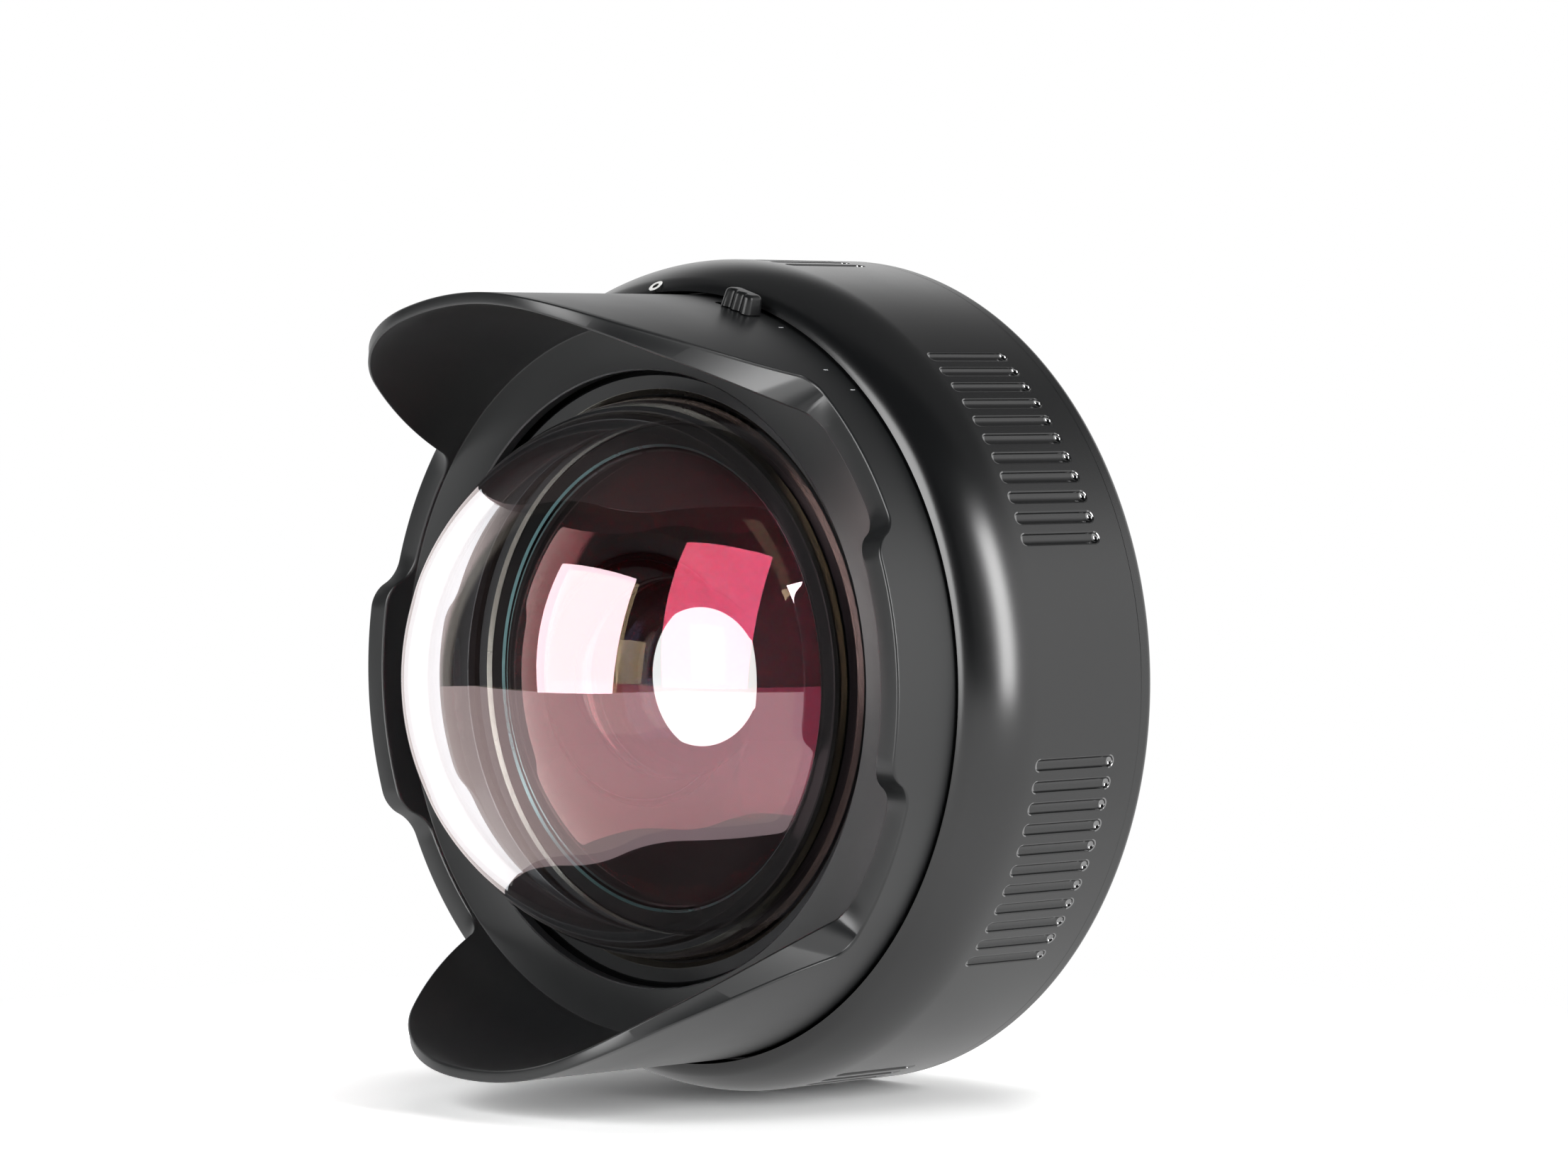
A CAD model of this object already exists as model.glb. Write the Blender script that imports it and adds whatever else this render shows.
"""Looks of the fisheye conversion port: its coated glass, satin shells, hood, latch and rear mount."""

import logging
import math
from dataclasses import dataclass, field
from enum import Enum
from functools import partial
from typing import Any, Callable, Iterable, Sequence

import bmesh
import bpy
from mathutils import Matrix, Vector


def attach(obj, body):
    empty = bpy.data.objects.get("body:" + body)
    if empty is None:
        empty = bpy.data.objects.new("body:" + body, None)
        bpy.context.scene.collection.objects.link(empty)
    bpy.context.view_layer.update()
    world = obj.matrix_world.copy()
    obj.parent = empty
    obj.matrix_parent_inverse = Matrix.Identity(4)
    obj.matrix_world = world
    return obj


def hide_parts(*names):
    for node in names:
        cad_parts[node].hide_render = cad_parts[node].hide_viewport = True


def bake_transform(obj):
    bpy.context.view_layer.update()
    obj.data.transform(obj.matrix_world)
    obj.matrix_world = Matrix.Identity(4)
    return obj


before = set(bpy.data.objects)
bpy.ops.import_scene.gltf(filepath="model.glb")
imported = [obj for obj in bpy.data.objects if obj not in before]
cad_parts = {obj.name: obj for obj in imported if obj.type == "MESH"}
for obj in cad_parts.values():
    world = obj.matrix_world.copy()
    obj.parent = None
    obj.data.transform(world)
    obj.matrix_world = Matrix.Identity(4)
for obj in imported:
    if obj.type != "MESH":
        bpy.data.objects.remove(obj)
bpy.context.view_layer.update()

MM = 0.001
Point = tuple[float, float]
Spot = tuple[float, float, float]
Colour = tuple[float, float, float, float]

WHITE: Colour = (1.0, 1.0, 1.0, 1.0)
# Patches of handling wear are about 22 mm across, which is one part in 45 of a metre.
WEAR_SCALE = 45.0
# A turned surface's grain is drawn out round the axis, fifty times as long as wide.
TURNING_STRETCH = (0.02, 1.0, 0.02)

log = logging.getLogger("port")


class Body(Enum):
    """The bodies that move on their own."""

    PORT = "port"
    HOOD = "hood"
    SLIDER = "latch_slider"
    BOLT = "latch_bolt"


class Corner(Enum):
    """How sharp a corner is left, as a radius in millimetres."""

    FINE = 0.08
    CRISP = 0.12
    EASED = 0.25
    SOFT = 0.5


# Colours and materials


def linear(hex_colour: str) -> Colour:
    """Turn an sRGB hex colour into linear values.

    Args:
        hex_colour: Colour as "#rrggbb".

    Returns:
        Red, green, blue and alpha, linear.
    """
    values = [int(hex_colour[place : place + 2], 16) / 255 for place in (1, 3, 5)]
    bent = [v / 12.92 if v <= 0.04045 else ((v + 0.055) / 1.055) ** 2.4 for v in values]
    return (bent[0], bent[1], bent[2], 1.0)


def add_node(
    tree: bpy.types.NodeTree, kind: str, inputs: dict[Any, Any] | None = None, **settings: Any
) -> Any:
    """Add a shader node to a tree, with its settings, values and links.

    Args:
        tree: Tree that takes the node.
        kind: Node type without its prefix, such as "BsdfPrincipled".
        inputs: Input name or number to a value, or to an output socket to link from.
        settings: Attributes of the node.

    Returns:
        The node.
    """
    node = tree.nodes.new(f"ShaderNode{kind}")
    for name, value in settings.items():
        setattr(node, name, value)
    for name, value in (inputs or {}).items():
        if isinstance(value, bpy.types.NodeSocket):
            tree.links.new(value, node.inputs[name])
        else:
            node.inputs[name].default_value = value
    return node


def new_material(name: str) -> tuple[bpy.types.Material, Callable[..., Any]]:
    """Make an empty node material.

    Args:
        name: Name of the real material and how it was made.

    Returns:
        The material, and add_node for its tree.
    """
    material = bpy.data.materials.new(name)
    material.use_nodes = True
    material.node_tree.nodes.clear()
    return material, partial(add_node, material.node_tree)


@dataclass(frozen=True)
class SolidFinish:
    """An opaque surface: its colour, gloss, and the grain that its making leaves.

    Grain is the size in millimetres of the bumps, and depth how far they stand out. Real grain
    below a tenth of a millimetre is drawn at a quarter or more, so that it shows.
    """

    name: str
    colour: str
    roughness: float
    metallic: float = 0.0
    specular: float = 0.5
    coat: float = 0.0
    grain: float = 0.5
    depth: float = 0.004
    rough_change: float = 0.05
    turned: bool = False
    ior: float = 1.5

    def material(self) -> bpy.types.Material:
        """Make the material the first time it is asked for.

        Returns:
            The material.
        """
        if self.name in bpy.data.materials:
            return bpy.data.materials[self.name]
        material, add = new_material(self.name)
        place = add("TexCoord").outputs["Object"]
        if self.turned:
            place = add("Mapping", {0: place, "Scale": TURNING_STRETCH}).outputs[0]
        grain = add("TexNoise", {"Vector": place, "Scale": 1.0 / (self.grain * MM), "Detail": 3.0})
        wear = add("TexNoise", {"Vector": place, "Scale": WEAR_SCALE, "Detail": 4.0})
        low, high = self.roughness - self.rough_change, self.roughness + self.rough_change
        spread = add(
            "MapRange",
            {"Value": wear.outputs[0], "From Min": 0.3, "From Max": 0.7, "To Min": low, "To Max": high},
        )
        bump = add("Bump", {"Height": grain.outputs[0], "Distance": self.depth * MM, "Strength": 1.0})
        shader = add(
            "BsdfPrincipled",
            {
                "Base Color": linear(self.colour),
                "Roughness": spread.outputs[0],
                "Metallic": self.metallic,
                "Specular IOR Level": self.specular,
                "IOR": self.ior,
                "Coat Weight": self.coat,
                "Coat Roughness": 0.3,
                "Normal": bump.outputs[0],
            },
        )
        add("OutputMaterial", {"Surface": shader.outputs[0]})
        return material


@dataclass(frozen=True)
class GlassFinish:
    """Polished optical glass with a thin reflection-cutting coat.

    Film is the coat's thickness in nanometres, which sets the colour of its reflections.
    Sheen is the mirror colour that the stacked coat adds on the side that faces out.
    """

    name: str
    film: float
    sheen: str = ""
    ior: float = 1.6
    film_ior: float = 1.38

    def material(self) -> bpy.types.Material:
        """Make the material the first time it is asked for.

        Returns:
            The material.
        """
        if self.name in bpy.data.materials:
            return bpy.data.materials[self.name]
        material, add = new_material(self.name)
        shader = add(
            "BsdfPrincipled",
            {
                "Base Color": WHITE,
                "Roughness": 0.0,
                "IOR": self.ior,
                "Transmission Weight": 1.0,
                "Thin Film Thickness": self.film,
                "Thin Film IOR": self.film_ior,
            },
        )
        surface = shader.outputs[0]
        if self.sheen:
            side = add("NewGeometry").outputs["Backfacing"]
            colours = {"Factor": side, 6: linear(self.sheen), 7: (0.0, 0.0, 0.0, 1.0)}
            tint = add("Mix", colours, data_type="RGBA")
            mirror = add("BsdfGlossy", {"Color": tint.outputs[2], "Roughness": 0.0})
            surface = add("AddShader", {0: surface, 1: mirror.outputs[0]}).outputs[0]
        # Lamps reach the rings behind the glass through it, as they do in the real lens.
        clear = add("BsdfTransparent", {"Color": (0.8, 0.8, 0.8, 1.0)})
        path = add("LightPath")
        mixed = add("MixShader", {0: path.outputs["Is Shadow Ray"], 1: surface, 2: clear.outputs[0]})
        add("OutputMaterial", {"Surface": mixed.outputs[0]})
        return material


# Bead-blasted and dyed: an even charcoal with a wide soft gloss and no visible grain.
COLLAR_SATIN = SolidFinish(
    "Anodised aluminium, fine blasted, charcoal", "#101112", 0.25, specular=0.9, grain=0.35, depth=0.001,
    rough_change=0.015,
)
# A ball cutter dwells at both ends of a groove and burnishes them, so each end glints.
GROOVE_MILLED = SolidFinish(
    "Anodised aluminium, ball milled, charcoal", "#101112", 0.1, specular=1.0, grain=0.3, depth=0.0,
    rough_change=0.01, ior=2.2,
)
# Blasted a little coarser, so the petals scatter the backdrop into a paler grey.
HOOD_SATIN = SolidFinish(
    "Anodised aluminium, bead blasted, dark grey", "#191a1b", 0.34, specular=0.8, grain=0.4, depth=0.002,
    rough_change=0.02,
)
# Turned, then dyed black: nearly no diffuse colour, only a dull sheen.
BARREL_BLACK = SolidFinish("Anodised aluminium, turned, black", "#121314", 0.38, grain=0.4, depth=0.003)
# Flat black lacquer keeps stray light down inside the lens and reads as a deep shadow.
LENS_BLACK = SolidFinish(
    "Optical black lacquer, sprayed, matt", "#080808", 0.5, specular=0.12, grain=0.3, depth=0.003
)
# Milled and tumbled: its rounded edges catch a soft line of light.
LATCH_BLACK = SolidFinish("Anodised aluminium, milled, black", "#151617", 0.34, grain=0.3, depth=0.003)
# The tool cuts it bright after dyeing, so it shows as one pale line round the glass.
BEVEL_BRIGHT = SolidFinish(
    "Aluminium, diamond turned bevel, champagne", "#7d7a72", 0.25, metallic=1.0, grain=0.3, depth=0.0
)
# Left bare where the ring's front edge is chamfered last, with the blue-green of the glass on it.
CHAMFER_TEAL = SolidFinish(
    "Anodised aluminium, chamfered last, blue-green sheen", "#5f7f80", 0.3, metallic=0.9, grain=0.3, depth=0.0
)
# Fine turning marks run round it and draw the light out into streaks.
STEEL_TURNED = SolidFinish(
    "Stainless steel, turned", "#a8a8a6", 0.24, metallic=1.0, grain=0.25, depth=0.003, turned=True
)
# Small and smooth, so the screws and the spring read as pale dots.
STEEL_BRIGHT = SolidFinish("Stainless steel, rolled and passivated", "#b4b4b2", 0.28, metallic=1.0)
# The grease gives the seals a wet edge on black.
SEAL_RUBBER = SolidFinish("Nitrile rubber, moulded and greased", "#101010", 0.33, coat=0.3, grain=0.4)
# Cut plastic: black with a broad weak gloss.
GUIDE_PLASTIC = SolidFinish("Acetal, machined, black", "#141414", 0.45)
# Open cut cells make it quite matt.
FOAM_CELLS = SolidFinish(
    "Closed-cell foam, moulded, tan", "#c8bb98", 0.85, specular=0.2, grain=0.6, depth=0.15
)
# Wiped flush, so the marks are flat and clean-edged.
MARK_WHITE = SolidFinish("Enamel, filled and wiped, white", "#f2f2ef", 0.4, grain=0.3, depth=0.0)
MARK_GREY = SolidFinish("Enamel, filled and wiped, pale grey", "#c4c6c8", 0.4)
# The outer coat is thick and mirrors the table in mauve, more than the thin inner coats do.
DOME_GLASS = GlassFinish("Optical glass, polished, mauve coat", 104.0, "#736467")
# The second element's coat shows the lamps as a pink patch.
PINK_GLASS = GlassFinish("Optical glass, polished, pink coat", 100.0, "#611626")
# The elements behind it reflect only a faint blue-green.
INNER_GLASS = GlassFinish("Optical glass, polished, blue-green coat", 122.0)


# Meshes


Finish = SolidFinish | GlassFinish


def make_piece(
    name: str,
    points: Sequence[Spot],
    faces: Sequence[Sequence[int]],
    finishes: Sequence[Finish] = (),
    sharp: float = 30.0,
    outwards: bool = True,
) -> bpy.types.Object:
    """Build a smooth piece and put it in the scene.

    Args:
        name: Name of the piece.
        points: Corners in millimetres.
        faces: Corner numbers of each face.
        finishes: Its finishes, in slot order.
        sharp: Edges that turn more than this many degrees stay sharp.
        outwards: Turn every face outwards.

    Returns:
        The piece.
    """
    mesh = bpy.data.meshes.new(name)
    mesh.from_pydata([(x * MM, y * MM, z * MM) for x, y, z in points], [], faces)
    if outwards:
        work = bmesh.new()
        work.from_mesh(mesh)
        bmesh.ops.recalc_face_normals(work, faces=work.faces)
        work.to_mesh(mesh)
        work.free()
    mesh.shade_smooth()
    mesh.set_sharp_from_angle(angle=math.radians(sharp))
    for finish in finishes:
        mesh.materials.append(finish.material())
    thing = bpy.data.objects.new(name, mesh)
    bpy.context.scene.collection.objects.link(thing)
    return thing


def joined(rings: Sequence[Sequence[int]]) -> list[list[int]]:
    """Faces that join each closed ring of corners to the next.

    Args:
        rings: Corner numbers of each ring, all as many.

    Returns:
        The faces, four corners each.
    """
    faces: list[list[int]] = []
    for ring, other in zip(rings, rings[1:]):
        count = len(ring)
        faces += [[ring[i], ring[(i + 1) % count], other[(i + 1) % count], other[i]] for i in range(count)]
    return faces


def loft(
    name: str,
    bodies: Sequence[Sequence[Sequence[Spot]]],
    finishes: Sequence[Finish] = (),
    looped: bool = False,
    sharp: float = 30.0,
) -> bpy.types.Object:
    """Build a piece from bodies that are each a row of closed rings of points.

    Args:
        name: Name of the piece.
        bodies: Rings of points in millimetres, for each body.
        finishes: Finishes of the piece.
        looped: Join the last ring to the first, instead of closing both with a face.
        sharp: Edges that turn more than this many degrees stay sharp.

    Returns:
        The piece.
    """
    points: list[Spot] = []
    faces: list[list[int]] = []
    for rings in bodies:
        numbers: list[list[int]] = []
        for ring in rings:
            numbers.append(list(range(len(points), len(points) + len(ring))))
            points += ring
        if looped:
            numbers.append(numbers[0])
        else:
            faces += [numbers[0], numbers[-1]]
        faces += joined(numbers)
    return make_piece(name, points, faces, finishes, sharp)


def bearing(angle: float) -> Point:
    """Direction at an angle in degrees, such as X and Z from +X towards +Z."""
    return (math.cos(math.radians(angle)), math.sin(math.radians(angle)))


def around(radius: float, angle: float, y: float) -> Spot:
    """Point at a radius and an angle in degrees from +X towards +Z round the optical axis."""
    out = bearing(angle)
    return (radius * out[0], y, radius * out[1])


def circle_points(centre: Point, radius: float, first: float, last: float, steps: int) -> list[Point]:
    """Points on an arc of a flat drawing.

    Args:
        centre: Centre of the arc.
        radius: Its radius.
        first: First angle in degrees, from the first axis towards the second.
        last: Last angle in degrees.
        steps: Number of equal steps.

    Returns:
        The points, both ends included.
    """
    ways = [bearing(first + (last - first) * i / steps) for i in range(steps + 1)]
    return [(centre[0] + radius * x, centre[1] + radius * y) for x, y in ways]


def soften(outline: Sequence[Point], radius: float, steps: int = 3, closed: bool = True) -> list[Point]:
    """Round the sharp corners of an outline.

    Args:
        outline: Points of the outline.
        radius: Largest rounding in millimetres, less where an edge is short.
        steps: Faces in each rounding.
        closed: Whether the last point joins the first.

    Returns:
        The outline with rounded corners.
    """
    made: list[Point] = []
    count = len(outline)
    for index, corner in enumerate(outline):
        if not closed and index in (0, count - 1):
            made.append(corner)
            continue
        here = Vector(corner)
        back = Vector(outline[index - 1]) - here
        ahead = Vector(outline[(index + 1) % count]) - here
        bend = math.pi - back.angle(ahead)
        if bend < math.radians(22):
            made.append(corner)
            continue
        reach = min(radius * math.tan(bend / 2), back.length * 0.45, ahead.length * 0.45)
        start = here + back.normalized() * reach
        end = here + ahead.normalized() * reach
        for step in range(steps + 1):
            part = step / steps
            curve = start * (1 - part) ** 2 + here * 2 * part * (1 - part) + end * part**2
            made.append((curve.x, curve.y))
    return made


def lathe(
    name: str,
    outline: Sequence[Point],
    finishes: Sequence[Finish],
    columns: int,
    slot_of: Callable[[Point, Point], int] | None = None,
    sharp: float = 32.0,
) -> bpy.types.Object:
    """Turn a closed (radius, y) outline round the optical axis.

    Args:
        name: Name of the piece.
        outline: Outline in millimetres. A point on the axis becomes a pole.
        finishes: Finishes of the piece.
        columns: Number of faces round.
        slot_of: Gives a face row's finish number from its two outline points.
        sharp: Edges that turn more than this many degrees stay sharp.

    Returns:
        The turned piece.
    """
    points: list[Spot] = []
    rows: list[list[int]] = []
    for radius, y in outline:
        first = len(points)
        if radius < 1e-6:
            points.append((0.0, y, 0.0))
            rows.append([first] * columns)
        else:
            points += [around(radius, 360.0 * c / columns, y) for c in range(columns)]
            rows.append(list(range(first, first + columns)))
    faces: list[list[int]] = []
    slots: list[int] = []
    for index, row in enumerate(rows):
        following = (index + 1) % len(rows)
        other = rows[following]
        if row[0] == row[1] and other[0] == other[1]:
            continue
        for ring in joined([row, other]):
            faces.append([v for i, v in enumerate(ring) if v != ring[i - 1]])
        slots += [slot_of(outline[index], outline[following]) if slot_of else 0] * columns
    thing = make_piece(name, points, faces, finishes, sharp)
    thing.data.polygons.foreach_set("material_index", slots)
    weight = thing.modifiers.new("even shading", "WEIGHTED_NORMAL")
    weight.keep_sharp = True
    return thing


def sector(
    name: str, ring: Sequence[Point], centres: Sequence[float], arc: float, finish: SolidFinish
) -> bpy.types.Object:
    """Sweep a closed (radius, y) outline over an arc, once at each centre.

    Args:
        name: Name of the piece.
        ring: Outline in millimetres.
        centres: Middle angle of each block in degrees.
        arc: Angle that each block covers.
        finish: Its finish.

    Returns:
        The piece.
    """
    steps = 36
    bodies = [
        [[around(r, centre + arc * (c / steps - 0.5), y) for r, y in ring] for c in range(steps + 1)]
        for centre in centres
    ]
    return loft(name, bodies, [finish])


def cut(thing: bpy.types.Object, cutter: bpy.types.Object) -> None:
    """Take a cutter's volume out of a piece and remove the cutter.

    Args:
        thing: The piece.
        cutter: The tool.
    """
    step = thing.modifiers.new("cut", "BOOLEAN")
    step.operation = "DIFFERENCE"
    step.object = cutter
    step.solver = "EXACT"
    if len(thing.modifiers) > 1:
        thing.modifiers.move(len(thing.modifiers) - 1, 0)
    with bpy.context.temp_override(object=thing, active_object=thing, selected_objects=[thing]):
        bpy.ops.object.modifier_apply(modifier=step.name)
    mesh = cutter.data
    bpy.data.objects.remove(cutter)
    bpy.data.meshes.remove(mesh)
    thing.data.set_sharp_from_angle(angle=math.radians(32.0))


def dress(finish: SolidFinish, slot: str, *nodes: str) -> None:
    """Give CAD nodes that stay in view their material.

    Args:
        finish: Their finish.
        slot: The record's material slot.
        nodes: Names of the nodes.
    """
    for node in nodes:
        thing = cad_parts[node]
        thing.data.materials.clear()
        thing.data.materials.append(finish.material())
        log.info("%s dressed in %s", node, finish.name)


def settle(thing: bpy.types.Object, body: Body | None, nodes: Sequence[str]) -> None:
    """Put a piece on its body and let it stand for CAD nodes.

    Args:
        thing: The piece.
        body: Body that carries it, or None where it is stretched between two.
        nodes: CAD nodes that it stands for.
    """
    if body:
        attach(thing, body.value)
    if nodes:
        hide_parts(*nodes)
    log.info("%s made, %d faces, for %s", thing.name, len(thing.data.polygons), ", ".join(nodes) or "no node")


# The float collar


@dataclass
class IndexRing:
    """The small white ring on the collar's nose that shows where the hood turns on."""

    centre: Point
    nose_radius: float
    angle: float = 89.9
    tilt: float = 52.5
    outer: float = 1.6
    inner: float = 0.75
    proud: float = 0.03
    depth: float = 0.05

    def ring(self, size: float, lift: float) -> list[Spot]:
        """Draw a circle on the curve of the nose.

        Args:
            size: Radius of the circle in millimetres.
            lift: How far it stands off the nose.

        Returns:
            Points of the circle.
        """
        made: list[Spot] = []
        for across, along in circle_points((0.0, 0.0), size, 0.0, 360.0, 64)[:-1]:
            out = bearing(self.tilt - 90.0 + math.degrees(along / self.nose_radius))
            reach = self.nose_radius + lift
            radius = self.centre[0] + reach * out[0]
            spin = self.angle + math.degrees(across / radius)
            made.append(around(radius, spin, self.centre[1] + reach * out[1]))
        return made

    def build(self) -> None:
        """Build the ring."""
        low = self.proud - self.depth
        section = ((self.outer, self.proud), (self.inner, self.proud), (self.inner, low), (self.outer, low))
        rings = [self.ring(*corner) for corner in section]
        thing = loft("index_ring", [rings], [MARK_WHITE], looped=True, sharp=180.0)
        settle(thing, Body.PORT, [])


@dataclass
class Collar:
    """Float collar: a round-nosed shell with groups of grip grooves, and its rear cover.

    Sizes are millimetres and degrees.
    """

    radius: float = 86.0
    bore: float = 79.3
    joint_y: float = -8.3
    straight_y: float = -38.7
    nose_radius: float = 25.4
    lip_radius: float = 5.5
    lip_tilt: float = 58.0
    step_y: float = -45.0
    inner: float = 64.15
    wall: float = 3.0
    pocket: float = 81.8
    cover_y: float = -4.3
    cover_round: float = 2.0
    cover_gap: float = 0.2
    seal_seat: float = 81.4
    seal_span: Point = (-8.6, -10.1)
    tongue_y: float = -10.4
    screws: int = 6
    screw_pitch: float = 77.6
    screw_head: tuple[float, Point] = (3.6, (-3.0, -6.7))
    screw_hole: tuple[float, Point] = (2.1, (-3.0, -12.0))
    groups: int = 6
    first_group: float = 30.0
    grooves: int = 11
    pitch: float = 2.98
    groove_length: float = 22.6
    groove_width: float = 2.3
    groove_depth: float = 0.85
    # Rings of the groove's rounded edge: how far outside it, and how deep.
    groove_edge: tuple[Point, ...] = ((0.36, 0.0), (0.26, 0.0), (0.13, 0.03), (0.04, 0.1))
    groove_flat: float = 0.12
    groove_y: float = -26.5
    cell_columns: int = 8
    side_rows: int = 16
    gap_columns: int = 72
    points: list[Spot] = field(default_factory=list)
    faces: list[list[int]] = field(default_factory=list)
    milled: list[int] = field(default_factory=list)
    columns: list[float] = field(default_factory=list)

    def ring(self, spots: Iterable[Spot]) -> list[int]:
        """Add a ring of points to the shell.

        Args:
            spots: The points in millimetres.

        Returns:
            Numbers of the points.
        """
        first = len(self.points)
        self.points += spots
        return list(range(first, len(self.points)))

    def slot_ring(self, angle: float, offset: float, depth: float) -> list[int]:
        """Add one ring of points round a groove.

        Args:
            angle: Angle of the groove's middle.
            offset: How far the ring lies outside the groove's edge.
            depth: How deep it lies under the collar's surface.

        Returns:
            Numbers of the points, in the order of the cell's edge.
        """
        half = self.groove_width / 2 + offset
        run = (self.groove_length - self.groove_width) / 2
        n, m = self.cell_columns, self.side_rows
        flat = circle_points((0.0, -run), half, 180.0, 360.0, n)[:-1]
        flat += [(half, -run + 2 * run * i / m) for i in range(m)]
        flat += circle_points((0.0, run), half, 0.0, 180.0, n)[:-1]
        flat += [(-half, run - 2 * run * i / m) for i in range(m)]
        turned = [(angle + math.degrees(across / self.radius), self.groove_y + along) for across, along in flat]
        return self.ring(around(self.radius - depth, spin, y) for spin, y in turned)

    def groove(self, angle: float, edge: Sequence[int]) -> None:
        """Sink one groove into its cell.

        Args:
            angle: Angle of the groove's middle.
            edge: Points round the cell: front edge, high side, rear edge, low side.
        """
        top = self.groove_edge[-1][1]
        reach, deep = self.groove_width / 2 - self.groove_flat, self.groove_depth - top
        quarter = circle_points((0.0, 0.0), 1.0, 0.0, 90.0, 6)
        sinks = [*self.groove_edge, *((reach * (out - 1), top + deep * down) for out, down in quarter)]
        last = edge
        n, m = self.cell_columns, self.side_rows
        ends = [*range(n), *range(n + m, 2 * n + m)]
        for index, (offset, depth) in enumerate(sinks):
            ring = self.slot_ring(angle, offset, depth)
            if index > 1:
                self.milled += [len(self.faces) + i for i in ends]
            self.faces += joined([last, ring])
            last = ring
        low = [last[0]] + [last[-i] for i in range(1, m + 1)]
        high = last[n : n + m + 1]
        for i in range(m):
            self.faces.append([low[i], high[i], high[i + 1], low[i + 1]])
        self.milled += [len(self.faces), len(self.faces) + 1]
        self.faces.append(list(last[: n + 1]))
        self.faces.append(list(last[n + m : 2 * n + m + 1]))

    def band(self) -> tuple[list[int], list[int]]:
        """Build the straight outside with its grooves.

        Returns:
            The rings of points along its front and its rear edge.
        """
        n, m = self.cell_columns, self.side_rows
        ys = [self.straight_y + (self.joint_y - self.straight_y) * i / m for i in range(m + 1)]
        gap = 360.0 / self.groups - self.grooves * self.pitch
        cells: list[tuple[int, float]] = []
        for group in range(self.groups):
            low = self.first_group - (self.grooves / 2) * self.pitch + group * 360.0 / self.groups
            for index in range(self.grooves):
                cells.append((len(self.columns), low + (index + 0.5) * self.pitch))
                self.columns += [low + (index + i / n) * self.pitch for i in range(n)]
            high = low + self.grooves * self.pitch
            self.columns += [high + gap * i / self.gap_columns for i in range(self.gap_columns)]
        total = len(self.columns)
        grooved = {first + i for first, _ in cells for i in range(n)}
        borders = {first + i for first, _ in cells for i in (0, n)}
        grid: dict[tuple[int, int], int] = {}
        for c, angle in enumerate(self.columns):
            inside = c in grooved and c not in borders
            for r, y in enumerate(ys):
                if not inside or r in (0, m):
                    grid[c, r] = len(self.points)
                    self.points.append(around(self.radius, angle, y))
        for c in range(total):
            if c not in grooved:
                d = (c + 1) % total
                self.faces += [[grid[c, r], grid[d, r], grid[d, r + 1], grid[c, r + 1]] for r in range(m)]
        for first, angle in cells:
            last = (first + n) % total
            edge = [grid[(first + i) % total, 0] for i in range(n)]
            edge += [grid[last, r] for r in range(m)]
            edge += [grid[(first + n - i) % total, m] for i in range(n)]
            edge += [grid[first, m - r] for r in range(m)]
            self.groove(angle, edge)
        return [grid[c, 0] for c in range(total)], [grid[c, m] for c in range(total)]

    def nose(self) -> list[Point]:
        """Draw the round nose and the lip, from the straight outside to the bore.

        Returns:
            Its points, without the first, which is on the straight outside.
        """
        centre = (self.radius - self.nose_radius, self.straight_y)
        start = self.lip_tilt - 90.0
        out = bearing(start)
        reach = self.nose_radius - self.lip_radius
        lip = (centre[0] + reach * out[0], centre[1] + reach * out[1])
        end = -math.degrees(math.acos((self.bore - lip[0]) / self.lip_radius))
        outline = circle_points(centre, self.nose_radius, 0.0, start, 40)[1:]
        return outline + circle_points(lip, self.lip_radius, start, end, 10)[1:]

    def shell(self) -> None:
        """Build the shell: grooved outside, round nose, lip, bore and the hollow at the back."""
        front, rear = self.band()
        nose = self.nose()
        core, hollow, shelf = self.inner + self.wall, self.radius - self.wall, self.step_y + self.wall
        inside = [(self.bore, nose[-1][1] + 0.5), (self.bore, self.step_y), (self.inner, self.step_y)]
        inside += [(self.inner, self.joint_y), (core, self.joint_y), (core, shelf), (self.pocket, shelf)]
        inside += [(hollow, self.straight_y + 1.5), (hollow, self.joint_y), (self.radius, self.joint_y)]
        outline = nose + soften(inside, Corner.EASED.value, closed=False)[:-1]
        rings = [self.ring(around(radius, angle, y) for angle in self.columns) for radius, y in outline]
        self.faces += joined([front, *rings, rear])
        finishes = [COLLAR_SATIN, GROOVE_MILLED]
        thing = make_piece("collar_shell_looks", self.points, self.faces, finishes, 40.0)
        for index in self.milled:
            thing.data.polygons[index].material_index = 1
        settle(thing, Body.PORT, ["collar_shell"])

    def cover(self) -> None:
        """Build the rear cover with its rounded rim, its seal seat and its screw wells."""
        eased, crisp = Corner.EASED.value, Corner.CRISP.value
        outer, inner = self.radius - self.wall - self.cover_gap, self.inner + self.wall + self.cover_gap
        outline = [(self.inner, self.joint_y), (self.inner, self.cover_y - eased)]
        outline.append((self.inner + eased, self.cover_y))
        centre = (self.radius - self.cover_round, self.cover_y - self.cover_round)
        outline += circle_points(centre, self.cover_round, 90.0, 0.0, 10)
        outline += [(self.radius, self.joint_y + crisp), (self.radius - crisp, self.joint_y)]
        outline += [(outer, self.joint_y), (outer, self.seal_span[0]), (self.seal_seat, self.seal_span[0])]
        outline += [(self.seal_seat, self.seal_span[1]), (outer, self.seal_span[1])]
        outline += [(outer, self.tongue_y), (inner, self.tongue_y), (inner, self.joint_y)]
        thing = lathe("collar_back_looks", outline, [COLLAR_SATIN], 480)
        for radius, span in (self.screw_head, self.screw_hole):
            cut(thing, self.well_cutter(radius, span))
        settle(thing, Body.PORT, ["collar_back"])

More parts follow.
